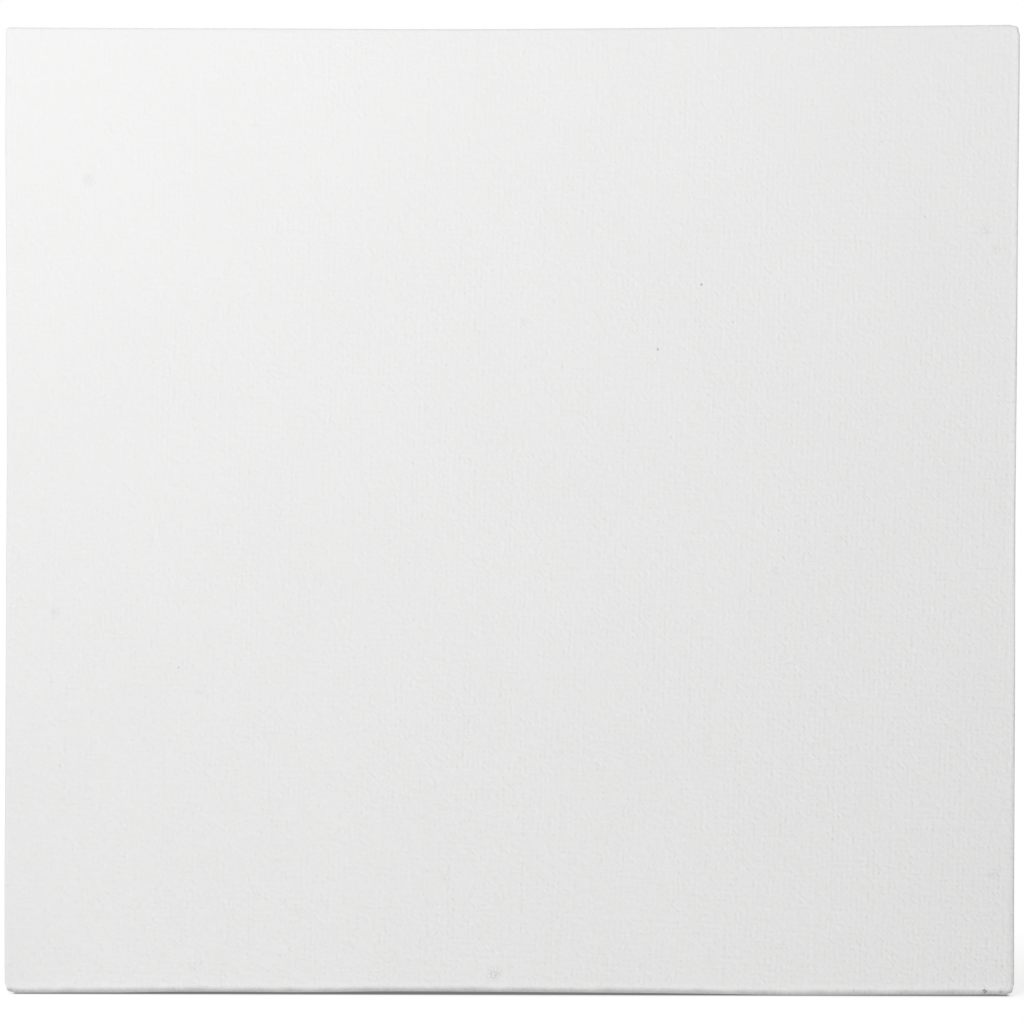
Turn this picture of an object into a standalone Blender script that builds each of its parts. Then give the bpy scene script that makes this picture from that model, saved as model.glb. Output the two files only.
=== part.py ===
"""Stretched canvas: primed cotton cloth on a keyed wooden stretcher frame.

The canvas stands on its bottom edge, with the painting face towards -Y and the keys towards +Y.
The origin is below the middle of the bottom edge. Four like bars go round the frame. Each bar has
a tongue and a slot at both ends, on swapped layers, so that any bar's right end fits the next
bar's left end, and a wedge key in each slot spreads the corner.
"""

import math

import bmesh
import bpy
from mathutils import Matrix, Vector

# Size over the cloth
WIDTH = 0.305
HEIGHT = 0.292
DEPTH = 0.019
CORNER_RADIUS = 0.0025
EDGE_RADIUS = 0.002
BACK_EDGE_RADIUS = 0.0008

# Cloth, and the clearance that every two pieces keep
CLOTH = 0.0006
FLAP = 0.022
GAP = 0.0003

# Stretcher bar: its outer side is at 0 and its inner side at BAR_WIDTH
BAR_WIDTH = 0.038
BAR_INSET = CLOTH + GAP
BAR_BACK = DEPTH / 2 - BAR_INSET
BAR_FRONT = -BAR_BACK
LIP_WIDTH = 0.005
LIP_HEIGHT = 0.0018
LIP_RADIUS = 0.0012
LIP_OUTER_RADIUS = 0.002
FACE_SLOPE = 0.0014
EASED_EDGE = 0.0008
CORNER_CHAMFER = 0.0011

# Corner joint: a mitred cheek on the front and on the back, and two layers of tongue and slot
CHEEK = 0.004
LAYER = 0.004
BACK_LAYER = (BAR_BACK - CHEEK - LAYER, BAR_BACK - CHEEK)
FRONT_LAYER = (BACK_LAYER[0] - LAYER, BACK_LAYER[0])

# Wedge key, with its straight side along the crossing bar
KEY_LENGTH = 0.036
KEY_INSERTED = 0.019
KEY_TIP = 0.005
KEY_BUTT = 0.0145
KEY_SLOPE = (KEY_BUTT - KEY_TIP) / KEY_LENGTH
KEY_PLAY = 0.0006
KEY_EASED_EDGE = 0.0004

# Staple
CROWN = 0.0106
LEG = 0.006
WIRE_WIDTH = 0.00125
WIRE_THICKNESS = 0.0005
BEND_RADIUS = 0.0007
STAPLE_BACK = DEPTH / 2 - 0.0001
STAPLE_FROM_EDGE = 0.012
STAPLE_PITCH = 0.038
STAPLES_A_SIDE = 6
CORNER_STAPLE_ALONG = 0.0245
CORNER_STAPLE_UP = 0.011

# How far a cutter reaches past what it cuts
MARGIN = 0.004

# Each bar, the turn about Y that puts it in place, and what is at its two ends
BARS = (
    ("bottom", 0, "left", "right"),
    ("right", -90, "bottom", "top"),
    ("top", 180, "right", "left"),
    ("left", 90, "top", "bottom"),
)

PINE = ("pine", (0.72, 0.53, 0.33), 0.62, 0.0)
KEY_WOOD = ("key_wood", (0.78, 0.60, 0.40), 0.60, 0.0)
PRIMED_COTTON = ("primed_cotton", (0.86, 0.86, 0.85), 0.85, 0.0)
STAPLE_STEEL = ("staple_steel", (0.60, 0.60, 0.61), 0.35, 1.0)


def clear_scene():
    for leftover in list(bpy.data.objects):
        bpy.data.objects.remove(leftover, do_unlink=True)


def collection(name):
    made = bpy.data.collections.new(name)
    bpy.context.scene.collection.children.link(made)
    return made


def material(name, colour, roughness, metallic):
    made = bpy.data.materials.get(name)
    if made is None:
        made = bpy.data.materials.new(name)
        made.use_nodes = True
        shader = made.node_tree.nodes["Principled BSDF"]
        shader.inputs["Base Color"].default_value = (*colour, 1.0)
        shader.inputs["Roughness"].default_value = roughness
        shader.inputs["Metallic"].default_value = metallic
    return made


def add_part(parts, name, mesh, finish):
    """An object of the finished assembly, in its own material."""
    part = bpy.data.objects.new(name, mesh)
    parts.objects.link(part)
    if not mesh.materials:
        mesh.materials.append(material(*finish))
    return part


def add_cutter(cutters, name, mesh):
    cutter = bpy.data.objects.new(name, mesh)
    cutters.objects.link(cutter)
    cutter.hide_render = True
    cutter.display_type = "WIRE"
    return cutter


def cut_with(part, cutter):
    boolean = part.modifiers.new("cut_" + cutter.name, "BOOLEAN")
    boolean.object = cutter
    boolean.solver = "EXACT"
    boolean.operation = "DIFFERENCE"


def tidy_mesh(mesh):
    """Welds the caps of a filled curve and turns every face outwards."""
    shape = bmesh.new()
    shape.from_mesh(mesh)
    bmesh.ops.remove_doubles(shape, verts=shape.verts, dist=1e-6)
    bmesh.ops.recalc_face_normals(shape, faces=shape.faces)
    shape.to_mesh(mesh)
    shape.free()


def evaluated_mesh(shaped):
    """The object's mesh with its modifiers in it; the object itself is removed."""
    graph = bpy.context.evaluated_depsgraph_get()
    mesh = bpy.data.meshes.new_from_object(shaped.evaluated_get(graph))
    bpy.data.objects.remove(shaped, do_unlink=True)
    return mesh


def extruded(name, outline, half_depth):
    """A flat outline in XY, extruded along Z to both sides."""
    curve = bpy.data.curves.new(name, "CURVE")
    curve.dimensions = "2D"
    curve.fill_mode = "BOTH"
    curve.extrude = half_depth
    spline = curve.splines.new("POLY")
    spline.points.add(len(outline) - 1)
    for point, (x, y) in zip(spline.points, outline):
        point.co = (x, y, 0.0, 1.0)
    spline.use_cyclic_u = True
    shaped = bpy.data.objects.new(name, curve)
    bpy.context.scene.collection.objects.link(shaped)
    mesh = evaluated_mesh(shaped)
    tidy_mesh(mesh)
    return mesh


def plate(name, outline, front, back):
    """A flat outline in XZ, as thick as from front to back along Y."""
    mesh = extruded(name, outline, (back - front) / 2)
    mesh.transform(Matrix.Rotation(math.radians(90), 4, "X"))
    mesh.transform(Matrix.Translation((0, (front + back) / 2, 0)))
    return mesh


def arc(centre, radius, start, end, steps):
    """Points of an arc, with its angles in degrees."""
    points = []
    for step in range(steps + 1):
        angle = math.radians(start + (end - start) * step / steps)
        points.append((centre[0] + radius * math.cos(angle), centre[1] + radius * math.sin(angle)))
    return points


def carved(mesh, cutter_meshes):
    """The mesh less each of the cutters."""
    body = bpy.data.objects.new("carved", mesh)
    bpy.context.scene.collection.objects.link(body)
    tools = []
    for number, cutter_mesh in enumerate(cutter_meshes):
        tool = bpy.data.objects.new(f"tool_{number}", cutter_mesh)
        bpy.context.scene.collection.objects.link(tool)
        cut_with(body, tool)
        tools.append(tool)
    result = evaluated_mesh(body)
    for tool in tools:
        bpy.data.objects.remove(tool, do_unlink=True)
    return result


def bevelled(shape, edges, radius, segments):
    bmesh.ops.bevel(
        shape,
        geom=edges,
        offset=radius,
        offset_type="OFFSET",
        segments=segments,
        profile=0.5,
        affect="EDGES",
        clamp_overlap=False,
    )


def rounded_box(name, inset):
    """The outside of the stretched cloth, or a box inside it by the inset, with round edges."""
    shape = bmesh.new()
    bmesh.ops.create_cube(shape, size=1.0)
    size = Vector((WIDTH, DEPTH, HEIGHT)) - Vector((2, 2, 2)) * inset
    bmesh.ops.scale(shape, vec=size, verts=shape.verts)
    bmesh.ops.translate(shape, vec=(0, 0, HEIGHT / 2), verts=shape.verts)
    across = [e for e in shape.edges if abs((e.verts[0].co - e.verts[1].co).y) > DEPTH / 2]
    bevelled(shape, across, CORNER_RADIUS - inset, 5)
    for side, radius, segments in ((-1, EDGE_RADIUS, 4), (1, BACK_EDGE_RADIUS, 2)):
        rim = [e for e in shape.edges if all(side * v.co.y > size.y / 2 - 1e-6 for v in e.verts)]
        bevelled(shape, rim, radius - inset, segments)
    mesh = bpy.data.meshes.new(name)
    shape.to_mesh(mesh)
    shape.free()
    return mesh


def box(name, low, high):
    shape = bmesh.new()
    low, high = Vector(low), Vector(high)
    bmesh.ops.create_cube(shape, size=1.0)
    bmesh.ops.scale(shape, vec=high - low, verts=shape.verts)
    bmesh.ops.translate(shape, vec=(low + high) / 2, verts=shape.verts)
    mesh = bpy.data.meshes.new(name)
    shape.to_mesh(mesh)
    shape.free()
    return mesh


def bar_profile():
    """The bar's section as (distance from its outer side, depth): a lip, then a sloping face."""
    foot = BAR_FRONT + LIP_HEIGHT
    face_end = foot + FACE_SLOPE
    eased = EASED_EDGE
    outer = LIP_OUTER_RADIUS
    outline = [(0.0, BAR_BACK - eased)]
    outline += arc((outer, BAR_FRONT + outer), outer, 180, 270, 6)
    outline += arc((LIP_WIDTH - LIP_RADIUS, BAR_FRONT + LIP_RADIUS), LIP_RADIUS, 270, 345, 4)
    outline += arc((LIP_WIDTH + LIP_RADIUS, foot - LIP_RADIUS), LIP_RADIUS, 165, 90, 4)
    outline += [(BAR_WIDTH - eased, face_end), (BAR_WIDTH, face_end + eased)]
    outline += [(BAR_WIDTH, BAR_BACK - eased), (BAR_WIDTH - eased, BAR_BACK), (eased, BAR_BACK)]
    return outline


def key_width(height):
    """The key's width where it is at this distance from the bar's outer side."""
    return KEY_TIP + KEY_SLOPE * (height - (BAR_WIDTH - KEY_INSERTED))


def end_cutters(half, side):
    """What is cut from one end of a bar: two mitres, the slot with its key way, and the corner."""
    inner = half - BAR_WIDTH
    low, high = -MARGIN, BAR_WIDTH + MARGIN
    offset = GAP / math.sqrt(2)
    mitre = [(half - offset - low, low), (inner - offset - MARGIN, high), (half + 4 * MARGIN, high)]
    mitre += [(half + 4 * MARGIN, low)]
    way = [(inner - GAP - KEY_PLAY - key_width(z), z) for z in (low, high)]
    way += [(half + MARGIN, high), (half + MARGIN, low)]
    chamfer = CORNER_CHAMFER
    tip = [(half - chamfer - MARGIN, -MARGIN), (half + MARGIN, chamfer + MARGIN), (half + MARGIN, -MARGIN)]
    slot = FRONT_LAYER if side > 0 else BACK_LAYER
    cuts = (
        ("front_mitre", mitre, -DEPTH, FRONT_LAYER[0] + GAP / 2),
        ("back_mitre", mitre, BACK_LAYER[1] - GAP / 2, DEPTH),
        ("key_way", way, slot[0] - GAP / 2, slot[1] + GAP / 2),
        ("corner_tip", tip, -DEPTH, DEPTH),
    )
    return [plate(name, [(side * x, z) for x, z in cut], front, back) for name, cut, front, back in cuts]


def bar_mesh(length):
    """A bar along X with its outer side at Z = 0 and its joints cut."""
    half = length / 2
    blank = extruded("bar", bar_profile(), half)
    blank.transform(Matrix.Rotation(math.radians(-90), 4, "Y"))
    return carved(blank, end_cutters(half, -1) + end_cutters(half, 1))


def key_mesh(side):
    """A wedge key about its own middle, with its tip down and its straight side outwards."""
    middle = KEY_LENGTH / 2
    outline = [(0, -middle), (0, middle), (-KEY_BUTT * side, middle), (-KEY_TIP * side, -middle)]
    half = LAYER / 2 - GAP / 2
    mesh = plate("key", outline, -half, half)
    shape = bmesh.new()
    shape.from_mesh(mesh)
    bevelled(shape, shape.edges[:], KEY_EASED_EDGE, 1)
    shape.to_mesh(mesh)
    shape.free()
    tidy_mesh(mesh)
    return mesh


def add_bars_and_keys(parts):
    key_meshes = {side: key_mesh(side) for side in (-1, 1)}
    lengths = {"bottom": WIDTH, "top": WIDTH, "left": HEIGHT, "right": HEIGHT}
    bars = []
    for name, turn, first_end, last_end in BARS:
        length = lengths[name] - 2 * BAR_INSET
        bar = add_part(parts, f"{name}_bar", bar_mesh(length), PINE)
        across = HEIGHT if name in ("bottom", "top") else WIDTH
        to_window = Vector((math.sin(math.radians(turn)), 0, math.cos(math.radians(turn))))
        bar.location = Vector((0, 0, HEIGHT / 2)) - to_window * (across / 2 - BAR_INSET)
        bar.rotation_euler = (0, math.radians(turn), 0)
        for side, end in ((-1, first_end), (1, last_end)):
            key = add_part(parts, f"key_{name}_{end}", key_meshes[side], KEY_WOOD)
            layer = FRONT_LAYER if side > 0 else BACK_LAYER
            key.parent = bar
            along = side * (length / 2 - BAR_WIDTH - GAP)
            up = BAR_WIDTH - KEY_INSERTED + KEY_LENGTH / 2
            key.location = (along, sum(layer) / 2, up)
        bars.append(bar)
    return bars


def staple_places():
    """Each staple's name, its (x, z), and its turn about Y in degrees."""
    places = []
    for name, turn, first_end, last_end in BARS:
        across = HEIGHT if name in ("bottom", "top") else WIDTH
        place = Matrix.Translation((0, 0, HEIGHT / 2)) @ Matrix.Rotation(math.radians(turn), 4, "Y")
        for number in range(STAPLES_A_SIDE):
            along = (number - (STAPLES_A_SIDE - 1) / 2) * STAPLE_PITCH
            at = place @ Vector((along, 0, STAPLE_FROM_EDGE - across / 2))
            places.append((f"staple_{name}_{number + 1}", at.x, at.z, turn))
    for level, up in (("bottom", CORNER_STAPLE_UP), ("top", HEIGHT - CORNER_STAPLE_UP)):
        for side, hand in ((-1, "left"), (1, "right")):
            x = side * (WIDTH / 2 - CORNER_STAPLE_ALONG)
            turn = 45 * side * (1 if level == "bottom" else -1)
            places.append((f"staple_corner_{level}_{hand}", x, up, turn))
    return places


def staple_mesh():
    """A staple with its crown along X and its legs towards -Y, from Y = 0."""
    outer = CROWN / 2
    bend = BEND_RADIUS
    point = WIRE_THICKNESS
    right = arc((outer - bend, -bend), bend, 90, 0, 3)
    right += [(outer, -LEG + point), (outer - WIRE_THICKNESS, -LEG)]
    right += arc((outer - bend, -bend), bend - WIRE_THICKNESS, 0, 90, 2)
    left = [(-x, y) for x, y in reversed(right)]
    return extruded("staple", right + left, WIRE_WIDTH / 2)


def joined_boxes(name, placed):
    """One mesh of separate boxes, each given as (matrix, low corner, high corner)."""
    shape = bmesh.new()
    for matrix, low, high in placed:
        mesh = box(name, low, high)
        mesh.transform(matrix)
        shape.from_mesh(mesh)
    mesh = bpy.data.meshes.new(name)
    shape.to_mesh(mesh)
    shape.free()
    return mesh


def add_staples(parts, cutters, canvas, bars):
    mesh = staple_mesh()
    pockets, holes = [], []
    half_crown = CROWN / 2 + GAP
    inside_leg = CROWN / 2 - WIRE_THICKNESS - GAP
    half_wire = WIRE_WIDTH / 2 + GAP
    for name, x, z, turn in staple_places():
        staple = add_part(parts, name, mesh, STAPLE_STEEL)
        staple.location = (x, STAPLE_BACK, z)
        staple.rotation_euler = (0, math.radians(turn), 0)
        place = Matrix.Translation((x, STAPLE_BACK, z)) @ Matrix.Rotation(math.radians(turn), 4, "Y")
        reach = CLOTH + GAP
        pockets.append((place, (-half_crown, -reach, -half_wire), (half_crown, MARGIN, half_wire)))
        for side in (-1, 1):
            near, far = sorted((side * inside_leg, side * half_crown))
            holes.append((place, (near, -LEG - GAP, -half_wire), (far, MARGIN, half_wire)))
    crown_pockets = add_cutter(cutters, "crown_pockets", joined_boxes("crown_pockets", pockets))
    leg_holes = add_cutter(cutters, "leg_holes", joined_boxes("leg_holes", holes))
    cut_with(canvas, crown_pockets)
    for bar in bars:
        cut_with(bar, leg_holes)


def add_canvas(parts, cutters):
    """The cloth over the front and sides, and its flaps on the back."""
    canvas = add_part(parts, "canvas", rounded_box("canvas", 0.0), PRIMED_COTTON)
    cut_with(canvas, add_cutter(cutters, "cloth_cavity", rounded_box("cloth_cavity", CLOTH)))
    low = (FLAP - WIDTH / 2, 0, FLAP)
    high = (WIDTH / 2 - FLAP, DEPTH, HEIGHT - FLAP)
    cut_with(canvas, add_cutter(cutters, "cloth_window", box("cloth_window", low, high)))
    return canvas


def main():
    clear_scene()
    parts = collection("stretched_canvas")
    cutters = collection("cutters")
    canvas = add_canvas(parts, cutters)
    bars = add_bars_and_keys(parts)
    add_staples(parts, cutters, canvas, bars)


main()
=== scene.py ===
"""Looks of a stretched canvas: primed cotton folded round a keyed pine stretcher frame."""

import math
import random

import bmesh
import bpy
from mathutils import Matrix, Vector


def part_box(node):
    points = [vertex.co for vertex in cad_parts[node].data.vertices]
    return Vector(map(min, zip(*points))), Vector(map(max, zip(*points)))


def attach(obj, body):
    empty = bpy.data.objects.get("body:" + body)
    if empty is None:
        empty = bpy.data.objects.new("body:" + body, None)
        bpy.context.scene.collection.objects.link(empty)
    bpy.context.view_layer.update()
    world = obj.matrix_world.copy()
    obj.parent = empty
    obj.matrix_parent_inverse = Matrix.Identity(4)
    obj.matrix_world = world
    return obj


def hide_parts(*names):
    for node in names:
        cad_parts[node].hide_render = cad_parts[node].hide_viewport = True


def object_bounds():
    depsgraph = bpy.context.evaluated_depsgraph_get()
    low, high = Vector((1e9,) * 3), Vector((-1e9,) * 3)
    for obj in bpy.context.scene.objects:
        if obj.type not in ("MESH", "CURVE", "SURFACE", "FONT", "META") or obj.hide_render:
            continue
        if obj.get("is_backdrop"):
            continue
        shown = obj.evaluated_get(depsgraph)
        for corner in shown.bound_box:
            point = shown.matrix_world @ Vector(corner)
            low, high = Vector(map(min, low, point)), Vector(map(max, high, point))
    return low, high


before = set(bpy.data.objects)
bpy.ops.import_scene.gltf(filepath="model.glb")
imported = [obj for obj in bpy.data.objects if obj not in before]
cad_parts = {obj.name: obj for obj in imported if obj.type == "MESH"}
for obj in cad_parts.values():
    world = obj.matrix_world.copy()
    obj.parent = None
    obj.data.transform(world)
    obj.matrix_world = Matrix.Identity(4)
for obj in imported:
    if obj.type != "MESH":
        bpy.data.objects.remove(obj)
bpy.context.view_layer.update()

SEED = 7

# Cloth. Its sizes are those of the middle of its thickness.
THICKNESS = 0.00034
CLEARANCE = 0.0001
SKIN = THICKNESS / 2 + CLEARANCE
FRONT_RADIUS = 0.0007
BACK_RADIUS = 0.0006
BACK_GAP = 0.00005
FLAP = 0.022
CORNER_ZONE = 0.030
BORDER = 0.005
BORDER_STEP = 0.0005
FINE_STEP = 0.00125
COARSE_STEP = 0.004
ROUNDING = 1e-9

# Corner pleat: three layers that part behind the front corner, and the hem under the mitre.
# A top corner has its own values (1), and a bottom one (-1).
LAYER = {1: 0.00036, -1: 0.00026}
LAYER_RAMP = {1: 0.011, -1: 0.005}
HEM = 0.005
UNDERLAP = 0.005
BULK_SLOPE = 0.0065
BULK_FADE = 0.004
PLEAT_STEPS = 10
TURN_STEPS = 8
FOLD_STEPS = 4

# The frame that the cloth is stretched on
CANVAS_LOW, CANVAS_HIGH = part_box("canvas")
BAR_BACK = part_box("bottom_bar")[1].y
CENTRE_Z = (CANVAS_LOW.z + CANVAS_HIGH.z) / 2
HALF_X = (CANVAS_HIGH.x - CANVAS_LOW.x) / 2 - SKIN - FRONT_RADIUS
HALF_Z = (CANVAS_HIGH.z - CANVAS_LOW.z) / 2 - SKIN - FRONT_RADIUS
FRONT_Y = CANVAS_LOW.y + SKIN
BACK_Y = BAR_BACK + THICKNESS / 2 + BACK_GAP

# Flat distances from the border of the flat front to each line of the section
FRONT_ARC = FRONT_RADIUS * math.pi / 2
SIDE_END = FRONT_ARC + BACK_Y - BACK_RADIUS - FRONT_Y - FRONT_RADIUS
BACK_START = SIDE_END + BACK_RADIUS * math.pi / 2
CORNER_END = BACK_START + FRONT_RADIUS - BACK_RADIUS
CLOTH_END = BACK_START + FLAP

STAPLES = sorted(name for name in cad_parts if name.startswith("staple_"))
SIDE_STAPLES = [name for name in STAPLES if "corner" not in name]


# Helpers

def smooth(value):
    """Eases from 0 to 1 as the value goes from 0 to 1."""
    value = min(max(value, 0), 1)
    return value * value * (3 - 2 * value)


def mix(first, second, share):
    return first + (second - first) * share


def spread(stops, step_at):
    """Lines through all the stops, no further apart than step_at(place) metres."""
    lines = [stops[0]]
    for near, far in zip(stops, stops[1:]):
        count = math.ceil((far - near) / step_at((near + far) / 2))
        lines += [mix(near, far, i / count) for i in range(1, count + 1)]
    return lines


def centre(node):
    low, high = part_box(node)
    return (low + high) / 2


# Cloth section

def ring(depth):
    """Outward offset, y and turn of the cloth at a flat distance behind the front's border."""
    if depth <= FRONT_ARC:
        turn = depth / FRONT_RADIUS
        y = FRONT_Y + FRONT_RADIUS * (1 - math.cos(turn))
        return FRONT_RADIUS * math.sin(turn), y, turn
    if depth <= SIDE_END:
        return FRONT_RADIUS, FRONT_Y + FRONT_RADIUS + depth - FRONT_ARC, math.pi / 2
    if depth <= BACK_START:
        turn = (depth - SIDE_END) / BACK_RADIUS
        y = BACK_Y - BACK_RADIUS * (1 - math.sin(turn))
        return FRONT_RADIUS - BACK_RADIUS * (1 - math.cos(turn)), y, math.pi / 2 + turn
    return CORNER_END - depth, BACK_Y, math.pi


def raised(depth, level):
    """Outward offset and y of a layer that lies a level above the cloth at this depth."""
    out, y, turn = ring(depth)
    return out + level * math.sin(turn), y - level * math.cos(turn)


def layer(depth, sz):
    """Distance between the layers of a top (sz = 1) or bottom corner's pleat."""
    return LAYER[sz] * (1 - (1 - min(depth / LAYER_RAMP[sz], 1)) ** 2)


def pleat(depth):
    """Length of the pleat: half of what the ring at this depth has left after the corner."""
    turned = math.pi / 4 * FRONT_RADIUS * math.sin(min(depth / FRONT_RADIUS, math.pi / 2))
    return depth - turned


def fold_edge(depth):
    """Where the top or bottom cloth is folded, outwards from the corner's centre."""
    corner = FRONT_RADIUS - BACK_RADIUS
    if depth <= BACK_START:
        return corner * smooth((depth - SIDE_END) / (BACK_START - SIDE_END))
    return CORNER_END - depth


def bulk(depth):
    """How far the layers under the top or bottom cloth reach in from its folded edge."""
    if depth <= SIDE_END:
        return pleat(depth)
    return mix(HEM, pleat(SIDE_END), math.exp((SIDE_END - depth) / BULK_FADE))


def lift(depth, inside, sz):
    """Height of the top or bottom cloth over the pleat, at a distance inside its folded edge."""
    return 2 * layer(depth, sz) * (1 - smooth((inside - bulk(depth)) / BULK_SLOPE))


def squeezed(along, half, end):
    """A place along a strip whose last stretch is squeezed so that it ends at end, not half."""
    still = half - CORNER_ZONE
    if abs(along) <= still:
        return along
    place = still + (abs(along) - still) * (end - still) / (half - still)
    return math.copysign(place, along)


# Cloth mesh

# Distance between the cloth's rows up to each line of its section, and by the staples
SECTION_STEPS = {FRONT_ARC: 0.00026, SIDE_END: 0.0013, BACK_START: 0.00036, CORNER_END: 0.001}
FLAP_STEP = 0.0013
STAPLE_BAND = 0.002
STAPLE_STEP = 0.0004
WELD = 1e-6
SHARP_ANGLE = math.radians(65)


class Sheet:
    """The cloth's faces, gathered patch by patch. Every point keeps its place in the flat cloth."""

    def __init__(self):
        self.mesh = bmesh.new()
        self.flat = self.mesh.verts.layers.float_vector.new("flat")

    def point(self, place, flat):
        vert = self.mesh.verts.new(place)
        vert[self.flat] = (flat[0], flat[1], 0)
        return vert

    def patch(self, rows):
        """Adds a patch of cloth from rows of (place, flat place)."""
        grid = [[self.point(*item) for item in row] for row in rows]
        for near, far in zip(grid, grid[1:]):
            for i in range(len(near) - 1):
                self.mesh.faces.new((near[i], near[i + 1], far[i + 1], far[i]))


def rows_down():
    """Flat distances of the cloth's rows, from the front's border to its cut edge."""
    staple_line = BACK_START + CANVAS_HIGH.z - SKIN - BACK_RADIUS - centre("staple_top_1").z
    stops = [0, FRONT_ARC, SIDE_END, BACK_START, CORNER_END]
    stops += [staple_line - STAPLE_BAND, staple_line + STAPLE_BAND, CLOTH_END]

    def step_at(depth):
        if abs(depth - staple_line) < STAPLE_BAND:
            return STAPLE_STEP
        return next((step for end, step in SECTION_STEPS.items() if depth < end), FLAP_STEP)

    return spread(stops, step_at)


def lines_along(half, axis, side):
    """Lines along a side: fine by the corners, and one at each end of a staple's crown."""
    shift = CENTRE_Z if axis == 2 else 0
    stops = [-half, BORDER - half, CORNER_ZONE - half, half - CORNER_ZONE, half - BORDER, half]
    for name in SIDE_STAPLES:
        if name.split("_")[1] == side:
            low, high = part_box(name)
            stops += [low[axis] - shift, high[axis] - shift]

    def step_at(place):
        if abs(place) > half - BORDER:
            return BORDER_STEP
        return FINE_STEP if abs(place) > half - CORNER_ZONE else COARSE_STEP

    return spread(sorted(stops), step_at)


ROWS = rows_down()
X_LINES = lines_along(HALF_X, 0, "top")
Z_LINES = lines_along(HALF_Z, 2, "left")


def front_rows():
    return [
        [(Vector((x, FRONT_Y, CENTRE_Z + z)), (x, z)) for x in X_LINES]
        for z in Z_LINES
    ]


def level_strip(sz):
    """The cloth over the top (sz = 1) or bottom bar, which lies on the corner pleats."""
    rows = []
    for depth in ROWS:
        edge = HALF_X + fold_edge(depth)
        row = []
        for along in X_LINES:
            x = squeezed(along, HALF_X, edge)
            out, y = raised(depth, lift(depth, edge - abs(x), sz))
            place = Vector((x, y, CENTRE_Z + sz * (HALF_Z + out)))
            row.append((place, (x, sz * (HALF_Z + depth))))
        rows.append(row)
    return rows


def upright_strip(sx):
    """The cloth over the right (sx = 1) or left bar, whose ends lie under the mitres."""
    rows = []
    for depth in ROWS:
        end = HALF_Z + min(0, CORNER_END - depth + UNDERLAP)
        out, y = raised(depth, 0)
        row = []
        for along in Z_LINES:
            z = squeezed(along, HALF_Z, end)
            place = Vector((sx * (HALF_X + out), y, CENTRE_Z + z))
            row.append((place, (sx * (HALF_X + depth), z)))
        rows.append(row)
    return rows


def corner_point(sx, sz, along, out, y, flat):
    """A point near a corner, from its distances along the top or bottom and outwards."""
    place = Vector((sx * (HALF_X + along), y, CENTRE_Z + sz * (HALF_Z + out)))
    return place, (sx * (HALF_X + flat[0]), sz * (HALF_Z + flat[1]))


def corner_turn(sx, sz):
    """The upright strip's cloth where it goes round the corner."""
    rows = []
    for depth in (row for row in ROWS if row <= CORNER_END + ROUNDING):
        out, y = raised(depth, 0)
        row = []
        for i in range(TURN_STEPS + 1):
            angle = math.pi / 2 * i / TURN_STEPS
            across = out * math.cos(angle)
            up = out * math.sin(angle)
            row.append(corner_point(sx, sz, across, up, y, (depth, out * angle)))
        rows.append(row)
    return rows


def pleat_under(sx, sz):
    """The first layer of the pleat, in from the corner, and the fold at its end."""
    rows = []
    for depth in (row for row in ROWS if row <= SIDE_END + ROUNDING):
        length, gap = pleat(depth), layer(depth, sz)
        row = []
        for i in range(PLEAT_STEPS + 1):
            along = -length * i / PLEAT_STEPS
            out, y = raised(depth, 0)
            row.append(corner_point(sx, sz, along, out, y, (depth, -along)))
        for i in range(1, FOLD_STEPS + 1):
            angle = math.pi * i / FOLD_STEPS
            along = -length - gap / 2 * math.sin(angle)
            out, y = raised(depth, gap / 2 * (1 - math.cos(angle)))
            row.append(corner_point(sx, sz, along, out, y, (depth, length)))
        rows.append(row)
    return rows


def pleat_over(sx, sz):
    """The second layer of the pleat, back to the corner, and the folded edge that shows."""
    rows = []
    for depth in ROWS:
        gap, edge = layer(depth, sz), fold_edge(depth)
        behind = smooth((depth - SIDE_END) / (BACK_START - SIDE_END))
        length = mix(pleat(min(depth, SIDE_END)), HEM, behind)
        row = []
        for i in range(PLEAT_STEPS + 1):
            along = edge - length * (1 - i / PLEAT_STEPS)
            out, y = raised(depth, gap)
            row.append(corner_point(sx, sz, along, out, y, (edge - along, depth)))
        for i in range(1, FOLD_STEPS + 1):
            angle = math.pi * i / FOLD_STEPS
            along = edge + gap / 2 * math.sin(angle)
            out, y = raised(depth, gap + gap / 2 * (1 - math.cos(angle)))
            row.append(corner_point(sx, sz, along, out, y, (edge, depth)))
        rows.append(row)
    return rows


# How the stretched cloth strays from a perfect box

# Size of the corners' rounding, and how far each (side in x, side in z) is drawn in, as a share
CORNER_ROUND = 0.0026
CORNER_PULL = {(-1, 1): 0.02, (1, 1): 0.16, (-1, -1): 0.17, (1, -1): 0.15}

# Rolled edges: how far from the border they begin, and how far back they reach
LOWER_EDGE = 0.0040
LOWER_EASE = 0.0016
RIGHT_EDGE = 0.0026
RIGHT_EASE = 0.0013
RIGHT_EASE_TOP = 0.110

# Dents under the staples
DENT_REACH = 0.0009
DENT_FADE = 3
DENT = 0.00016

# How far the cloth can sink in before it meets the bars, whose lip is rounded at the front
ROOM_AT_FRONT = 0.0012
ROOM = 0.00038
ROOM_ROUND = 0.0026

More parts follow.
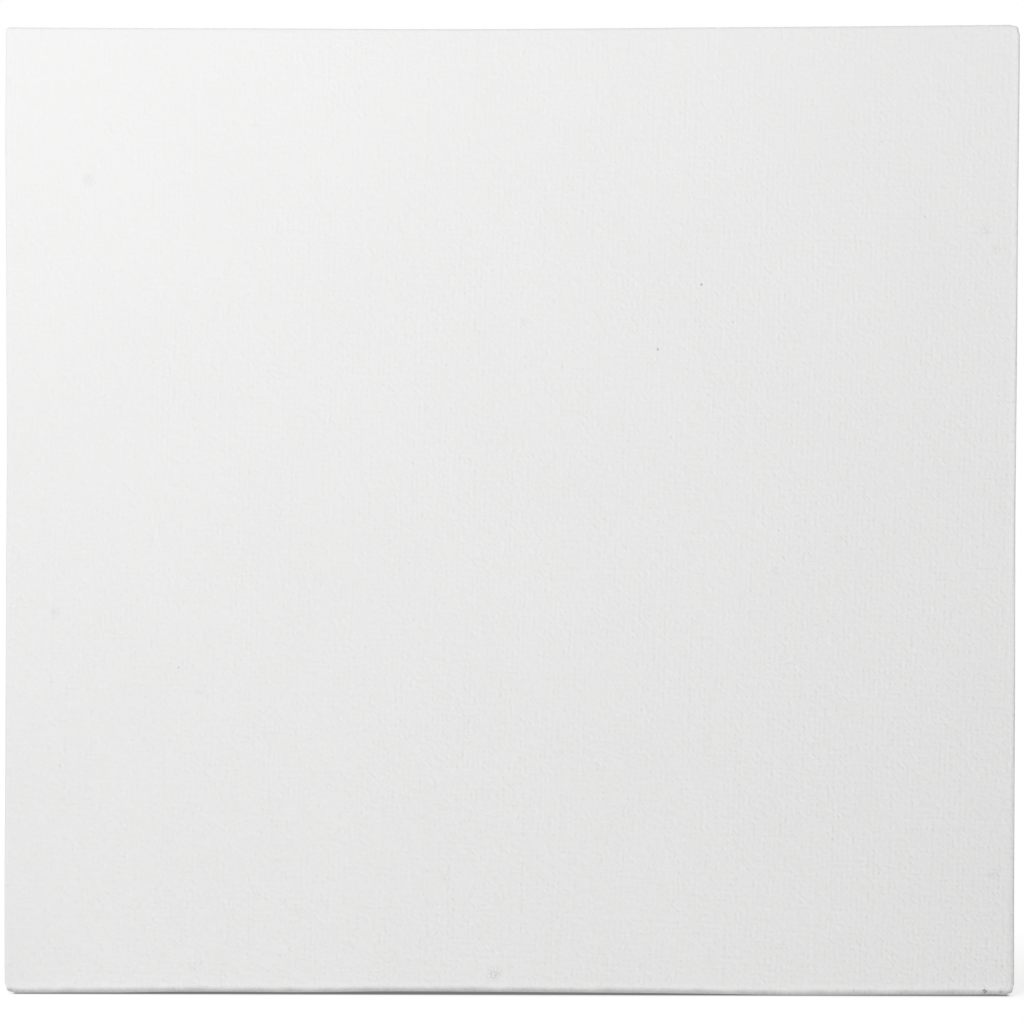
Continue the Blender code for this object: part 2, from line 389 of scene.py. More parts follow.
# Swells of each side, seen from the front: (where along the side, reach, height outwards)
SWELL_FADE = 0.008
SWELL_AT_BACK = 0.4
SWELLS = {
    "top": ((-0.142, 0.022, 0.00025), (-0.010, 0.060, -0.00048), (0.150, 0.042, 0.00040),
            (0.0, 2.0, -0.00024)),
    "bottom": ((-0.143, 0.009, 0.00020), (-0.122, 0.014, 0.00020), (-0.064, 0.018, 0.00025),
               (-0.035, 0.090, -0.00060), (0.087, 0.026, 0.00030), (0.150, 0.009, -0.00016),
               (0.0, 2.0, 0.00011)),
    "left": ((0.292, 0.022, -0.00050), (0.205, 0.090, -0.00068), (0.160, 0.030, -0.00022),
             (0.020, 0.045, 0.00040), (0.146, 2.0, 0.00038)),
    "right": ((0.292, 0.050, 0.00050), (0.145, 0.035, -0.00025), (0.060, 0.110, -0.00042),
              (0.146, 2.0, 0.00018)),
}


def swell(side, along):
    """How far the swells push a side out at a place along it."""
    return sum(
        height * math.exp(-(((along - where) / reach) ** 2))
        for where, reach, height in SWELLS[side]
    )


def swollen(place):
    """Moves a point near a side with that side's swells, as far as the bars leave room."""
    depth = mix(1, SWELL_AT_BACK, smooth((place.y - FRONT_Y) / (BACK_Y - FRONT_Y)))
    inside_x = HALF_X + FRONT_RADIUS - abs(place.x)
    inside_z = HALF_Z + FRONT_RADIUS - abs(place.z - CENTRE_Z)
    sx = 1 if place.x > 0 else -1
    sz = 1 if place.z > CENTRE_Z else -1
    room = mix(ROOM_AT_FRONT, ROOM, smooth((place.y - FRONT_Y) / ROOM_ROUND))
    shift_x = max(swell("right" if sx > 0 else "left", place.z) * depth, -room)
    shift_z = max(swell("top" if sz > 0 else "bottom", place.x) * depth, -room)
    place.x += sx * shift_x * smooth(1 - inside_x / SWELL_FADE)
    place.z += sz * shift_z * smooth(1 - inside_z / SWELL_FADE)


def rounder_corner(place):
    """Draws a point by a corner in, to round the corner's outline."""
    sx = 1 if place.x > 0 else -1
    sz = 1 if place.z > CENTRE_Z else -1
    u = abs(place.x) - HALF_X - FRONT_RADIUS + CORNER_ROUND
    v = abs(place.z - CENTRE_Z) - HALF_Z - FRONT_RADIUS + CORNER_ROUND
    if u <= 0 or v <= 0:
        return
    scale = 1 - CORNER_PULL[sx, sz] * 4 * u * v / (u + v) ** 2
    place.x -= sx * u * (1 - scale)
    place.z -= sz * v * (1 - scale)


def eased_edges(place):
    """Rolls the lower front edge back, and the right one near its foot, where it has stood."""
    if place.y > 0:
        return
    forward = smooth(place.y / FRONT_Y)
    above = min(max((place.z - CANVAS_LOW.z) / LOWER_EDGE, 0), 1)
    beside = min(max((CANVAS_HIGH.x - place.x) / RIGHT_EDGE, 0), 1)
    low = 1 - smooth(place.z / RIGHT_EASE_TOP)
    place.y += forward * (LOWER_EASE * (1 - above) ** 2 + RIGHT_EASE * low * (1 - beside) ** 2)


def dented_by_staples(place):
    """Sinks the cloth under each staple's crown."""
    if place.y < BACK_Y - THICKNESS:
        return
    for start, end in CROWNS:
        line = end - start
        share = min(max((place - start).dot(line) / line.length_squared, 0), 1)
        gap = (place - start - line * share).length / DENT_REACH
        if gap < DENT_FADE:
            place.y -= DENT * math.exp(-gap * gap)


def crown_ends(name):
    """The two ends of a staple's crown, at the back of the bars."""
    points = [Vector((v.co.x, BACK_Y, v.co.z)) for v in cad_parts[name].data.vertices]
    first = max(points, key=lambda point: (point - points[0]).length)
    last = max(points, key=lambda point: (point - first).length)
    return first, last


CROWNS = [crown_ends(name) for name in STAPLES]


def faces_outwards(mesh):
    """Turns the cloth's faces so that those of the front face the front."""
    bmesh.ops.recalc_face_normals(mesh, faces=mesh.faces)
    middle = Vector((0, FRONT_Y, CENTRE_Z))
    front = min(mesh.faces, key=lambda face: (face.calc_center_median() - middle).length)
    if front.normal.y > 0:
        bmesh.ops.reverse_faces(mesh, faces=mesh.faces)


def cloth_mesh():
    """The whole cloth as one mesh, at the middle of its thickness."""
    sheet = Sheet()
    sheet.patch(front_rows())
    for sign in (-1, 1):
        sheet.patch(level_strip(sign))
        sheet.patch(upright_strip(sign))
    for sx in (-1, 1):
        for sz in (-1, 1):
            sheet.patch(corner_turn(sx, sz))
            sheet.patch(pleat_under(sx, sz))
            sheet.patch(pleat_over(sx, sz))
    mesh = sheet.mesh
    bmesh.ops.remove_doubles(mesh, verts=mesh.verts, dist=WELD)
    for vert in mesh.verts:
        rounder_corner(vert.co)
        eased_edges(vert.co)
        swollen(vert.co)
        dented_by_staples(vert.co)
    faces_outwards(mesh)
    made = bpy.data.meshes.new("canvas_cloth")
    mesh.to_mesh(made)
    mesh.free()
    return made


def add_cloth():
    """Adds the cloth with its thickness, primed outside and raw inside."""
    cloth = bpy.data.objects.new("canvas_cloth", cloth_mesh())
    bpy.context.scene.collection.objects.link(cloth)
    cloth.data.materials.append(primed_cotton())
    cloth.data.materials.append(raw_cotton())
    shell = cloth.modifiers.new("thickness", "SOLIDIFY")
    shell.thickness = THICKNESS
    shell.offset = 0
    shell.material_offset = 1
    shell.material_offset_rim = 1
    depsgraph = bpy.context.evaluated_depsgraph_get()
    solid = bpy.data.meshes.new_from_object(cloth.evaluated_get(depsgraph))
    cloth.modifiers.clear()
    cloth.data = solid
    solid.shade_smooth()
    solid.set_sharp_from_angle(angle=SHARP_ANGLE)
    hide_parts("canvas")
    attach(cloth, "frame")
    return cloth


# Materials: nodes

def node(tree, kind, inputs=None, out=0, **settings):
    """Adds a shader node, sets or links its inputs by name or number, and gives an output."""
    made = tree.nodes.new("ShaderNode" + kind)
    for name, value in settings.items():
        setattr(made, name, value)
    for name, value in (inputs or {}).items():
        if isinstance(value, bpy.types.NodeSocket):
            tree.links.new(value, made.inputs[name])
        else:
            made.inputs[name].default_value = value
    return made.outputs[out] if made.outputs else None


def maths(tree, operation, first, second=0.0, third=0.0):
    return node(tree, "Math", {0: first, 1: second, 2: third}, operation=operation)


def plus(tree, first, second):
    return maths(tree, "ADD", first, second)


def minus(tree, first, second):
    return maths(tree, "SUBTRACT", first, second)


def times(tree, first, second):
    return maths(tree, "MULTIPLY", first, second)


def added(tree, value, weight, base):
    """The base with a weighted value added to it."""
    return maths(tree, "MULTIPLY_ADD", value, weight, base)


def vectors(tree, operation, first, second=(0, 0, 0)):
    return node(tree, "VectorMath", {0: first, 1: second}, operation=operation)


def distance(tree, first, second=(0, 0, 0)):
    return node(tree, "VectorMath", {0: first, 1: second}, out=1, operation="DISTANCE")


def joined(tree, x, y, z=0.0):
    return node(tree, "CombineXYZ", {0: x, 1: y, 2: z})


def parts(tree, vector):
    """The x, y and z of a vector."""
    split = tree.nodes.new("ShaderNodeSeparateXYZ")
    tree.links.new(vector, split.inputs[0])
    return split.outputs


def noise(tree, place, scale, detail, roughness=0.5, out=0):
    inputs = {"Vector": place, "Scale": scale, "Detail": detail, "Roughness": roughness}
    return node(tree, "TexNoise", inputs, out)


def ranged(tree, value, low, high, to_low=0.0, to_high=1.0, kind="SMOOTHSTEP"):
    """Eases from to_low to to_high as the value goes from low to high."""
    inputs = {0: value, 1: low, 2: high, 3: to_low, 4: to_high}
    return node(tree, "MapRange", inputs, interpolation_type=kind)


def blended(tree, share, first, second):
    """A colour between two colours."""
    return node(tree, "Mix", {0: share, 6: first, 7: second}, out=2, data_type="RGBA")


def bump(tree, height, depth):
    return node(tree, "Bump", {"Height": height, "Distance": depth, "Strength": 1.0})


def grey(level, warm=0.0):
    """A near-neutral colour, warmer as warm grows."""
    return (level, level * (1 - warm), level * (1 - 2 * warm), 1)


def new_material(name):
    material = bpy.data.materials.new(name)
    material.use_nodes = True
    tree = material.node_tree
    tree.nodes.clear()
    return material, tree


def surface(tree, colour, roughness, normal, **more):
    """Ends a material in a Principled surface."""
    inputs = {"Base Color": colour, "Roughness": roughness, "Normal": normal, **more}
    shader = node(tree, "BsdfPrincipled", inputs)
    node(tree, "OutputMaterial", {"Surface": shader})


# Materials: yarns of the cloth

THREAD_ACROSS = 0.00079
THREAD_UP = 0.00084
WEAVE_SKEW = math.radians(1.6)
YARN_WANDER = 0.0011
WANDER_SCALE = 60
SLUB_LENGTH = 0.03
SLUB_SCALE = 0.9


def cloth_threads(tree):
    """Thread numbers across and up the cloth, with the wander of real yarn."""
    flat = node(tree, "Attribute", out=1, attribute_name="flat")
    wander = vectors(tree, "SUBTRACT", noise(tree, flat, WANDER_SCALE, 3, out=1), (0.5, 0.5, 0.5))
    wander = vectors(tree, "MULTIPLY", wander, (YARN_WANDER, YARN_WANDER, YARN_WANDER))
    placed = vectors(tree, "ADD", flat, wander)
    turned = {"Vector": placed, "Angle": WEAVE_SKEW}
    sides = parts(tree, node(tree, "VectorRotate", turned, rotation_type="Z_AXIS"))
    across = maths(tree, "DIVIDE", sides[0], THREAD_ACROSS)
    up = maths(tree, "DIVIDE", sides[1], THREAD_UP)
    return flat, across, up


def wave(tree, threads, per_thread=math.pi):
    return maths(tree, "COSINE", times(tree, threads, per_thread))


def crossing(tree, across, up):
    """A chance number from 0 to 1 for each place where two yarns cross."""
    column = maths(tree, "ROUND", across)
    row = maths(tree, "ROUND", up)
    return node(tree, "TexWhiteNoise", {"Vector": joined(tree, column, row)})


def slubs(tree, across, up):
    """How thick each yarn is where it passes: noise drawn out along it."""
    row = joined(tree, times(tree, across, SLUB_LENGTH), up)
    column = joined(tree, across, times(tree, up, SLUB_LENGTH), 5.0)
    return plus(tree, noise(tree, row, SLUB_SCALE, 2), noise(tree, column, SLUB_SCALE, 2))


# Materials: dirt on the primer

# Painted shade along the lower edge and under it, in patches: its darkness, and the heights where
# it fades
PAINTED_EDGE_SHADE = 0.4
PAINTED_EDGE_SHADE_TOP = (-0.0006, 0.0016)
PAINTED_EDGE_SHADE_UNDER = (-0.0060, -0.0020)
PAINTED_EDGE_SHADE_PATCHES = 0.0016

# Specks, faint smudges, and two spots of painted shade at dents: (x, height, radius, darkness)
SPECK_EDGE = 0.7
SPECKS = (
    (0.0576, 0.2143, 0.00045, 0.36), (0.0445, 0.1948, 0.00045, 0.32),
    (-0.1001, 0.0989, 0.00040, 0.22), (0.0672, 0.2030, 0.00035, 0.17),
    (0.1118, 0.2571, 0.00035, 0.14), (0.1246, 0.2345, 0.00035, 0.17),
    (-0.0219, 0.2337, 0.00035, 0.08),
)
SMUDGE_AND_SHADE_EDGE = 0.1
SMUDGES_AND_DENT_SHADE = (
    (-0.1270, 0.2458, 0.0028, 0.080), (0.1429, 0.2307, 0.0026, 0.075),
    (0.1459, 0.2247, 0.0022, 0.070), (0.1459, 0.0367, 0.0030, 0.070),
    (0.0044, 0.2030, 0.0024, 0.045), (-0.0046, 0.0063, 0.0032, 0.140),
    (-0.1376, 0.1153, 0.0026, 0.065), (-0.0938, 0.0918, 0.0024, 0.045),
    (0.0800, 0.1281, 0.0026, 0.045), (-0.0197, 0.0355, 0.0024, 0.040),
    # Painted shade: the last two stand for the shade in two dents by the lower right corner
    (0.1432, 0.0014, 0.0014, 0.450), (0.1484, 0.0016, 0.0012, 0.350),
)


def painted_edge_shade(tree, flat):
    """Share of light left by the painted shade along the lower edge and under it."""
    # Painted shade: the front's lowest 1.6 mm and the cloth under it are darkened, in patches
    patchy = minus(tree, noise(tree, flat, 110, 3), 0.5)
    height = added(tree, patchy, PAINTED_EDGE_SHADE_PATCHES, plus(tree, parts(tree, flat)[1], HALF_Z))
    above = ranged(tree, height, *PAINTED_EDGE_SHADE_TOP, 1.0, 0.0)
    below = ranged(tree, height, *PAINTED_EDGE_SHADE_UNDER)
    return added(tree, times(tree, above, below), -PAINTED_EDGE_SHADE, 1.0)


def spot(tree, flat, x, height, radius, darkness, edge):
    """Darkness of a round mark on the primer, which fades from an edge to its radius."""
    gap = distance(tree, flat, (x, height - CENTRE_Z, 0))
    return ranged(tree, gap, radius * edge, radius, darkness, 0.0)


def marks(tree, flat):
    """Share of the primer's light left by its specks and smudges, and by painted shade on the lower
    edge and at two dents.
    """
    torn = ranged(tree, noise(tree, flat, 1500, 2), 0.42, 0.62, 0.0, 1.6)
    left = painted_edge_shade(tree, flat)
    for speck in SPECKS:
        left = times(tree, left, minus(tree, 1.0, spot(tree, flat, *speck, SPECK_EDGE)))
    for dark_spot in SMUDGES_AND_DENT_SHADE:
        dark = times(tree, spot(tree, flat, *dark_spot, SMUDGE_AND_SHADE_EDGE), torn)
        left = times(tree, left, minus(tree, 1.0, dark))
    return left


# Materials: primed and raw cotton

# Primer relief: the weight of each layer, or the scale and weight of its noise
CROSSINGS = 0.36
UPRIGHT_YARN = 0.25
LEVEL_YARN = 0.10
FINE_WEAVE = 0.15
UNEVEN_YARN = 1.3
FILLED = (420, 2.0)
DROPS = (760, 4.0)
GRAIN = (1500, 1.5)
PRIMER_DEPTH = 0.000078
RELIEF_LOW = 1.0
RELIEF_HIGH = 0.5
WORN = 1.8
WORN_FROM = (-0.0015, 0.0005)
PRIMER_WHITE = grey(0.86, 0.002)

RAW_DEPTH = 0.00022
RAW_DARK = (0.66, 0.58, 0.45, 1)
RAW_PALE = (0.78, 0.71, 0.58, 1)
RAW_HOLLOW_SHADE = (0.42, 0.35, 0.25, 1)
SEED_FLECK = (0.28, 0.18, 0.10, 1)


def primer_relief(tree, flat, across, up):
    """Height of the primed surface: weave, uneven yarn, filled hollows and grain."""
    both = times(tree, wave(tree, across), wave(tree, up))
    both = times(tree, both, ranged(tree, crossing(tree, across, up), 0.0, 1.0, 0.1, 1.35))
    fine = times(tree, wave(tree, across, 2 * math.pi), wave(tree, up, 2 * math.pi))
    height = added(tree, wave(tree, across), UPRIGHT_YARN, times(tree, both, CROSSINGS))
    height = added(tree, wave(tree, up), LEVEL_YARN, height)
    height = added(tree, fine, FINE_WEAVE, height)
    filled = noise(tree, flat, FILLED[0], 1)
    height = times(tree, height, ranged(tree, filled, 0.36, 0.64, 0.4, 1.25))
    height = added(tree, slubs(tree, across, up), UNEVEN_YARN, height)
    height = added(tree, filled, FILLED[1], height)
    height = added(tree, noise(tree, flat, DROPS[0], 1, 0.4), DROPS[1], height)
    return added(tree, noise(tree, flat, GRAIN[0], 2, 0.6), GRAIN[1], height)


def worn_border(tree, flat):
    """How much more of the weave shows where the cloth turns round the right and lower borders."""
    from_corner = vectors(tree, "MULTIPLY", flat, (1, -1, 1))
    past = parts(tree, vectors(tree, "SUBTRACT", from_corner, (HALF_X, HALF_Z, 0)))
    past = maths(tree, "MAXIMUM", past[0], past[1])
    return ranged(tree, past, *WORN_FROM, 1.0, WORN)


def primed_cotton():
    """White acrylic primer over the weave: matt, and thickest, so smoothest, at the top."""
    material, tree = new_material("primed_cotton")
    flat, across, up = cloth_threads(tree)
    height = primer_relief(tree, flat, across, up)
    place_up = parts(tree, flat)[1]
    relief = ranged(tree, place_up, -HALF_Z, HALF_Z, RELIEF_LOW, RELIEF_HIGH, kind="LINEAR")
    relief = times(tree, relief, worn_border(tree, flat))
    normal = bump(tree, times(tree, height, relief), PRIMER_DEPTH)
    cloud = noise(tree, flat, 22, 4)
    level = times(tree, ranged(tree, cloud, 0.3, 0.7, 0.99, 1.0), marks(tree, flat))
    colour = blended(tree, level, (0.0, 0.0, 0.0, 1), PRIMER_WHITE)
    rough = ranged(tree, cloud, 0.3, 0.7, 0.72, 0.82)
    surface(tree, colour, rough, normal, **{"Specular IOR Level": 0.25})
    return material


def rounded(tree, threads):
    """Height across each yarn, full in its middle."""
    return maths(tree, "POWER", maths(tree, "ABSOLUTE", wave(tree, threads)), 0.6)


def seed_flecks(tree, flat):
    """Where bits of cotton seed are caught in the yarn."""
    cells = node(tree, "TexVoronoi", {"Vector": flat, "Scale": 260, "Randomness": 1.0})
    bare = ranged(tree, noise(tree, flat, 130, 2), 0.60, 0.70)
    return times(tree, ranged(tree, cells, 0.05, 0.14, 0.7, 0.0), bare)


def raw_cotton():
    """Unprimed cotton duck: every yarn shows, cream with flecks of seed, and painted shade in the
    hollows between yarns.
    """
    material, tree = new_material("raw_cotton")
    flat, across, up = cloth_threads(tree)
    over = times(tree, wave(tree, across), wave(tree, up))
    warp = times(tree, rounded(tree, across), added(tree, over, 0.5, 0.5))
    weft = times(tree, rounded(tree, up), added(tree, over, -0.5, 0.5))
    height = maths(tree, "MAXIMUM", warp, weft)
    yarn = slubs(tree, across, up)
    full = added(tree, yarn, 0.5, height)
    full = added(tree, noise(tree, flat, 5200, 2), 0.25, full)
    cream = blended(tree, ranged(tree, yarn, 0.6, 1.4), RAW_DARK, RAW_PALE)
    # Painted shade: darker where the weave lies low, between the yarns
    colour = blended(tree, ranged(tree, height, 0.05, 0.6), RAW_HOLLOW_SHADE, cream)
    colour = blended(tree, seed_flecks(tree, flat), colour, SEED_FLECK)
    more = {"Specular IOR Level": 0.1, "Sheen Weight": 0.15}
    surface(tree, colour, 0.92, bump(tree, full, RAW_DEPTH), **more)
    return material


# Materials: wood

PINE_PALE = (0.78, 0.59, 0.36, 1)
PINE_DARK = (0.52, 0.30, 0.13, 1)
PINE_RINGS = 0.0024
KEY_PALE = (0.66, 0.47, 0.29, 1)
KEY_DARK = (0.46, 0.28, 0.14, 1)
KEY_RINGS = 0.0012
KNOT_BROWN = (0.16, 0.075, 0.03, 1)
RESIN_SHADE = 0.62

# The pith lies outside the wood, in these ranges, and the rings lean and sway along it
PITH_ACROSS = (-0.09, -0.04)
PITH_DEEP = (-0.07, -0.03)
RING_LEAN = (-0.03, 0.03)
RING_SWAY = 0.011
RING_CHANGE = 2.6
KNOT_STRETCH = 0.55
PLANE_MARKS = 0.0021
WOOD_DEPTH = 0.00006


def wood_places(tree, along_axis, seed):
    """Along, across and deep in a piece of wood, then two places drawn out along it."""
    sides = parts(tree, node(tree, "TexCoord", out=3))
    along = sides[along_axis]
    across = sides[2 - along_axis]
    deep = sides[1]
    drawn = joined(tree, times(tree, along, 0.09), across, deep)
    tones = vectors(tree, "ADD", drawn, (seed * 1.7, seed * 0.9, seed * 0.4))
    fibres = joined(tree, times(tree, along, 0.02), across, deep)
    return along, across, deep, tones, fibres


def pith_distance(tree, along, across, deep, sway, chance):
    """How far a place is from the pith of the tree."""
    reach = minus(tree, across, chance.uniform(*PITH_ACROSS))
    back = minus(tree, deep, chance.uniform(*PITH_DEEP))
    squares = plus(tree, times(tree, reach, reach), times(tree, back, back))
    radius = added(tree, sway, RING_SWAY, maths(tree, "SQRT", squares))
    return added(tree, along, chance.uniform(*RING_LEAN), radius)


def knotted(tree, radius, along, across, knots):
    """Bends the rings round each knot. Also gives where the knots themselves are."""
    heart = 0.0
    for knot_along, knot_across, size in knots:
        near = times(tree, minus(tree, along, knot_along), KNOT_STRETCH)
        gap = distance(tree, joined(tree, near, minus(tree, across, knot_across)))
        radius = plus(tree, radius, ranged(tree, gap, 0.0, size * 4.5, size * 1.6, 0.0))
        core = ranged(tree, gap, size * 0.42, size * 0.62, 1.0, 0.0)
        heart = maths(tree, "MAXIMUM", heart, core)
    return radius, heart


def late_wood(tree, radius, ring_gap):
    """The dark late part of each year's ring, and how dark that year is."""
    years = maths(tree, "DIVIDE", radius, ring_gap)
    growth = {"W": years, "Scale": 0.45, "Detail": 1}
    years = added(tree, node(tree, "TexNoise", growth, noise_dimensions="1D"), RING_CHANGE, years)
    phase = maths(tree, "FRACT", years)
    year = maths(tree, "FLOOR", years)
    chance = node(tree, "TexWhiteNoise", {"W": year}, noise_dimensions="1D")
    late = times(tree, ranged(tree, phase, 0.25, 0.86), ranged(tree, phase, 0.9, 1.0, 1.0, 0.0))
    return late, ranged(tree, chance, 0.0, 1.0, 0.4, 1.0)


def pine(name, along_axis, seed, pale, dark, ring_gap, knots=()):
    """Wood sawn along an axis (0 for X, 2 for Z): rings about a far pith, fibres and knots."""
    material, tree = new_material(name)
    along, across, deep, tones, fibres = wood_places(tree, along_axis, seed)
    sway = noise(tree, tones, 28, 2)
    radius = pith_distance(tree, along, across, deep, sway, random.Random(seed))
    radius, heart = knotted(tree, radius, along, across, knots)
    late, year = late_wood(tree, radius, ring_gap)
    fibre = noise(tree, fibres, 2600, 3, 0.6)
    share = times(tree, late, ranged(tree, noise(tree, tones, 70, 3), 0.25, 0.75, 0.5, 1.0))
    share = added(tree, minus(tree, fibre, 0.5), 0.55, times(tree, share, year))
    colour = blended(tree, share, pale, dark)
    resin = ranged(tree, noise(tree, fibres, 700, 2), 0.66, 0.74, 0.0, 0.4)
    colour = blended(tree, resin, colour, tuple(RESIN_SHADE * part for part in dark[:3]) + (1,))
    colour = blended(tree, heart, colour, KNOT_BROWN)
    planed = maths(tree, "SINE", times(tree, along, 2 * math.pi / PLANE_MARKS))
    height = added(tree, planed, 0.05, added(tree, late, 0.5, fibre))
    rough = ranged(tree, fibre, 0.3, 0.7, 0.52, 0.68)
    surface(tree, colour, rough, bump(tree, height, WOOD_DEPTH), **{"Specular IOR Level": 0.3})
    return material


# Materials: wire and yarn ends

WIRE_DULL = grey(0.50, 0.01)
WIRE_BRIGHT = grey(0.72, 0.01)
WIRE_DEPTH = 0.00001
YARN_DARK = (0.60, 0.52, 0.40, 1)
YARN_PALE = (0.86, 0.82, 0.74, 1)
YARN_DEPTH = 0.00005


def staple_steel():
    """Galvanised wire, rough from drawing, in dull and bright patches."""
    material, tree = new_material("staple_steel")
    place = node(tree, "TexCoord", out=3)
    cloud = noise(tree, place, 900, 3)
    drawn = noise(tree, place, 9000, 2)
    colour = blended(tree, ranged(tree, cloud, 0.35, 0.65), WIRE_DULL, WIRE_BRIGHT)
    rough = ranged(tree, cloud, 0.35, 0.65, 0.42, 0.26)
    surface(tree, colour, rough, bump(tree, drawn, WIRE_DEPTH), Metallic=1.0)
    return material


def yarn_cotton():
    material, tree = new_material("yarn_cotton")
    cloud = noise(tree, node(tree, "TexCoord", out=3), 800, 2)
    colour = blended(tree, cloud, YARN_DARK, YARN_PALE)
    surface(tree, colour, 0.9, bump(tree, cloud, YARN_DEPTH), **{"Sheen Weight": 0.2})
    return material


# Bars, keys and staples

# Knots of each bar: (along, across, size)
KNOTS = {
    "bottom_bar": [(-0.047, 0.024, 0.0036)],
    "top_bar": [(0.071, 0.268, 0.0028)],
    "left_bar": [(0.118, -0.131, 0.0032)],
    "right_bar": [(0.203, 0.139, 0.0024), (0.061, 0.127, 0.0030)],
}


def dress(name, material):
    """Gives a CAD node its material."""
    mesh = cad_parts[name].data
    mesh.materials.clear()
    mesh.materials.append(material)


def dress_frame():
    for seed, (name, knots) in enumerate(KNOTS.items(), start=1):
        axis = 0 if name in ("bottom_bar", "top_bar") else 2
        dress(name, pine(name + "_pine", axis, seed, PINE_PALE, PINE_DARK, PINE_RINGS, knots))
    keys = sorted(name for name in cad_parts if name.startswith("key_"))
    for seed, name in enumerate(keys, start=11):
        axis = 2 if name.split("_")[1] in ("bottom", "top") else 0
        dress(name, pine(name + "_wood", axis, seed, KEY_PALE, KEY_DARK, KEY_RINGS))
    steel = staple_steel()
    for name in STAPLES:
        dress(name, steel)


# Loose yarn at the cloth's cut edge

YARN_RADIUS = 0.00011
YARN_GAPS = (1, 1, 2, 2, 3, 5)
YARN_LENGTH = 0.0007
YARN_SHORTEST = 0.0003
YARN_LONGEST = 0.003
YARN_ROOT = 0.0002
YARN_LEAN = 0.6
YARN_RISE = 0.00008
YARN_ARCH = 0.0002
YARN_TAPER = 0.35
YARN_POINTS = 4


def cut_edges():
    """The four cut edges: the middle of each, along it, inwards, and how far yarn stands out."""
    cut = CORNER_END - CLOTH_END
    reach_x = HALF_X + cut - HEM - BULK_SLOPE
    reach_z = HALF_Z + cut - HEM
    for sign in (-1, 1):
        middle = Vector((0, 0, CENTRE_Z + sign * (HALF_Z + cut)))
        yield middle, Vector((1, 0, 0)), Vector((0, 0, -sign)), reach_x
    for sign in (-1, 1):
        middle = Vector((sign * (HALF_X + cut), 0, CENTRE_Z))
        yield middle, Vector((0, 0, 1)), Vector((-sign, 0, 0)), reach_z


def add_yarn(curve, chance, root, along, inward):
    """One end of yarn, which leans along the edge and arches off the bar."""
    length = min(chance.expovariate(1 / YARN_LENGTH), YARN_LONGEST) + YARN_SHORTEST
    lean = chance.uniform(-YARN_LEAN, YARN_LEAN)
    rise = chance.uniform(-YARN_RISE, YARN_RISE)
    spline = curve.splines.new("POLY")
    spline.points.add(YARN_POINTS - 1)
    for i, end in enumerate(spline.points):
        share = i / (YARN_POINTS - 1)
        point = root + inward * (length * share - YARN_ROOT)
        point += along * (lean * length * share * share)
        point.y = BACK_Y + rise + YARN_ARCH * share * (1 - share)
        end.co = (*point, 1)
        end.radius = 1 - YARN_TAPER * share


def loose_yarn():
    """Short ends of yarn that stand out of the flaps' cut edges."""
    chance = random.Random(SEED)
    curve = bpy.data.curves.new("cut_edge_yarn", "CURVE")
    curve.dimensions = "3D"
    curve.bevel_depth = YARN_RADIUS
    curve.bevel_resolution = 1
    curve.use_fill_caps = True
    for middle, along, inward, reach in cut_edges():
        place = -reach
        while place < reach:
            add_yarn(curve, chance, middle + along * place, along, inward)
            place += chance.choice(YARN_GAPS) * THREAD_ACROSS
    yarn = bpy.data.objects.new("cut_edge_yarn", curve)
    bpy.context.scene.collection.objects.link(yarn)
    curve.materials.append(yarn_cotton())
    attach(yarn, "frame")
    return yarn


# Studio

FLOOR_SIZE = 6.0
FLOOR_PAINT = grey(0.92)
WHITE = grey(1.0)
BLACK = (0, 0, 0, 1)

# Lights: place, width and watts
KEY_LIGHT = ((-0.35, -0.8, 0.7), 0.4, 4.9)
OVERHEAD = ((0, 0, 3.0), 2.5, 20.0)
WORLD_LIGHT = 0.173

# The floor glows as a lit white sweep does, less so near the spot before the canvas
FLOOR_GLOW = 1.05
FLOOR_GLOW_NEAR = 1.6
GLOW_SHARE_NEAR = 0.39
GLOW_CENTRE = (0, -0.45, 0)
GLOW_RAMP = (0.42, 0.80)

# Painted shade on the floor under the canvas: its light, how far it fades, and where it starts
FOOT_SHADE = 0.25
FOOT_REACH = 0.0018
FOOT_INSET = Vector((0.0025, 0.0037, 0))

LENS = 92.27
SENSOR = 36
CAMERA_PLACE = (0.0104, -0.8, 0.1564)
CAMERA_TILT = math.radians(90 - 0.762)
CAMERA_TURN = math.radians(0.708)


def foot_shade(tree, place):
    """Share of light left by the painted shade on the floor under the canvas and just round its
    foot.
    """
    foot = Vector((CANVAS_HIGH.x, CANVAS_HIGH.y, 0)) - FOOT_INSET
    gap = vectors(tree, "SUBTRACT", vectors(tree, "ABSOLUTE", place), foot)
    gap = distance(tree, vectors(tree, "MAXIMUM", gap))
    return ranged(tree, gap, 0.0, FOOT_REACH, FOOT_SHADE, 1.0)


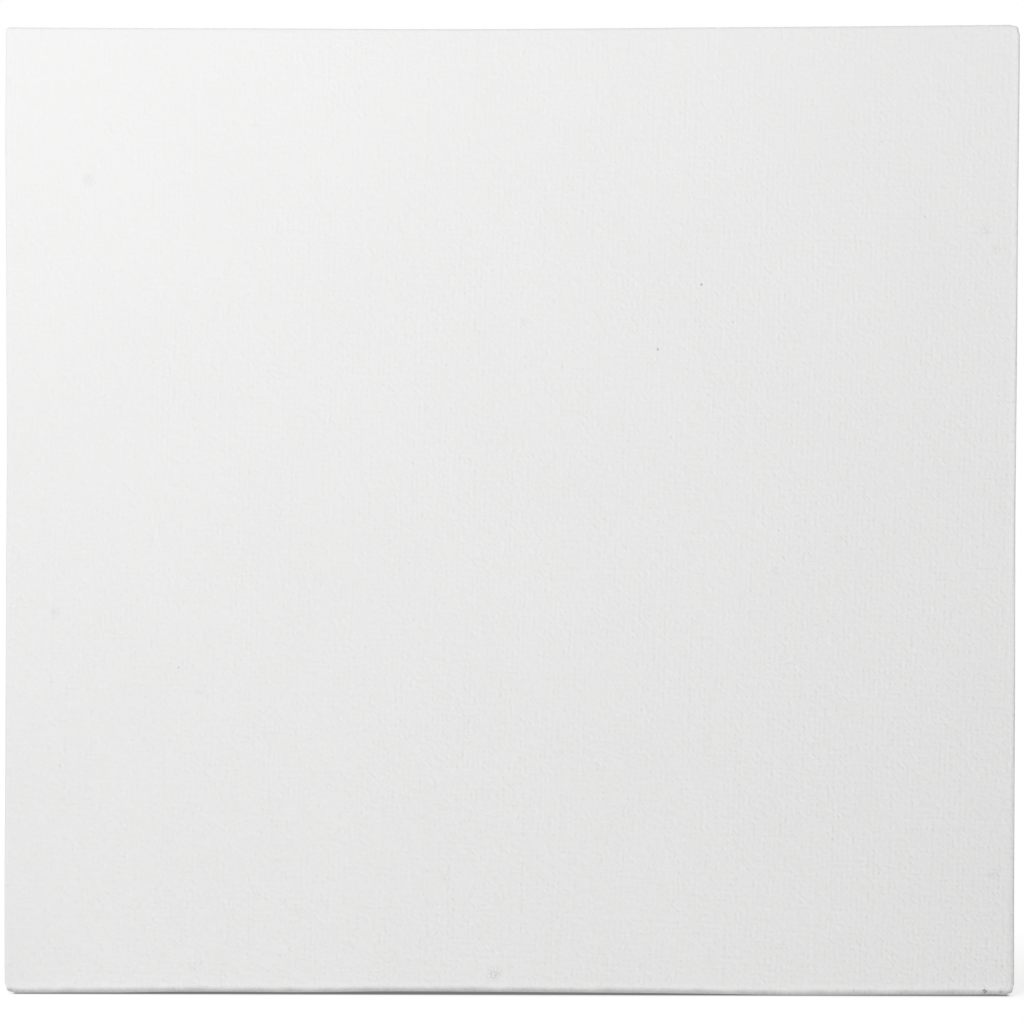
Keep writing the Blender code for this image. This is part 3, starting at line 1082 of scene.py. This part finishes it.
def pale_floor():
    """Pale paint with a soft glow, and painted shade under the canvas."""
    material, tree = new_material("pale_floor")
    place = node(tree, "TexCoord", out=3)
    away = distance(tree, place, GLOW_CENTRE)
    shade = foot_shade(tree, place)
    share = ranged(tree, away, *GLOW_RAMP, GLOW_SHARE_NEAR, 1.0)
    strength = ranged(tree, away, *GLOW_RAMP, FLOOR_GLOW_NEAR, FLOOR_GLOW)
    # Painted shade: the paint and its glow are darkened under the canvas and round its foot
    colour = blended(tree, shade, BLACK, FLOOR_PAINT)
    paint = node(tree, "BsdfPrincipled", {"Base Color": colour, "Roughness": 0.85})
    glow = node(tree, "Emission", {"Color": WHITE, "Strength": times(tree, strength, shade)})
    both = node(tree, "MixShader", {0: share, 1: paint, 2: glow})
    node(tree, "OutputMaterial", {"Surface": both})
    return material


def add_floor(level):
    bpy.ops.mesh.primitive_plane_add(size=FLOOR_SIZE, location=(0, 0, level))
    floor = bpy.context.object
    floor.name = "floor"
    floor.data.materials.append(pale_floor())
    floor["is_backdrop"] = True


def add_area_light(name, place, width, watts, target):
    light = bpy.data.lights.new(name, "AREA")
    light.shape = "DISK"
    light.size = width
    light.energy = watts
    lamp = bpy.data.objects.new(name, light)
    lamp.location = place
    lamp.rotation_euler = (Vector(target) - Vector(place)).to_track_quat("-Z", "Y").to_euler()
    bpy.context.scene.collection.objects.link(lamp)


def add_world():
    """Soft light from all round, and plain white where the camera sees past the floor."""
    world = bpy.data.worlds.new("studio")
    bpy.context.scene.world = world
    world.use_nodes = True
    tree = world.node_tree
    tree.nodes.clear()
    seen = node(tree, "LightPath")
    strength = ranged(tree, seen, 0, 1, WORLD_LIGHT, 1.0, kind="LINEAR")
    background = node(tree, "Background", {"Color": WHITE, "Strength": strength})
    node(tree, "OutputWorld", {"Surface": background})


def add_camera():
    lens = bpy.data.cameras.new("camera")
    lens.lens = LENS
    lens.sensor_width = SENSOR
    camera = bpy.data.objects.new("camera", lens)
    camera.location = CAMERA_PLACE
    camera.rotation_euler = (CAMERA_TILT, 0, CAMERA_TURN)
    bpy.context.scene.collection.objects.link(camera)
    bpy.context.scene.camera = camera


def add_studio():
    bpy.context.scene.view_settings.view_transform = "Standard"
    add_camera()
    add_world()
    add_area_light("key", *KEY_LIGHT, (0, 0, CENTRE_Z))
    add_area_light("overhead", *OVERHEAD, (0, 0, 0))


# The whole


def main():
    add_studio()
    dress_frame()
    cloth = add_cloth()
    yarn = loose_yarn()
    add_floor(min(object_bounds()[0].z, 0))


main()
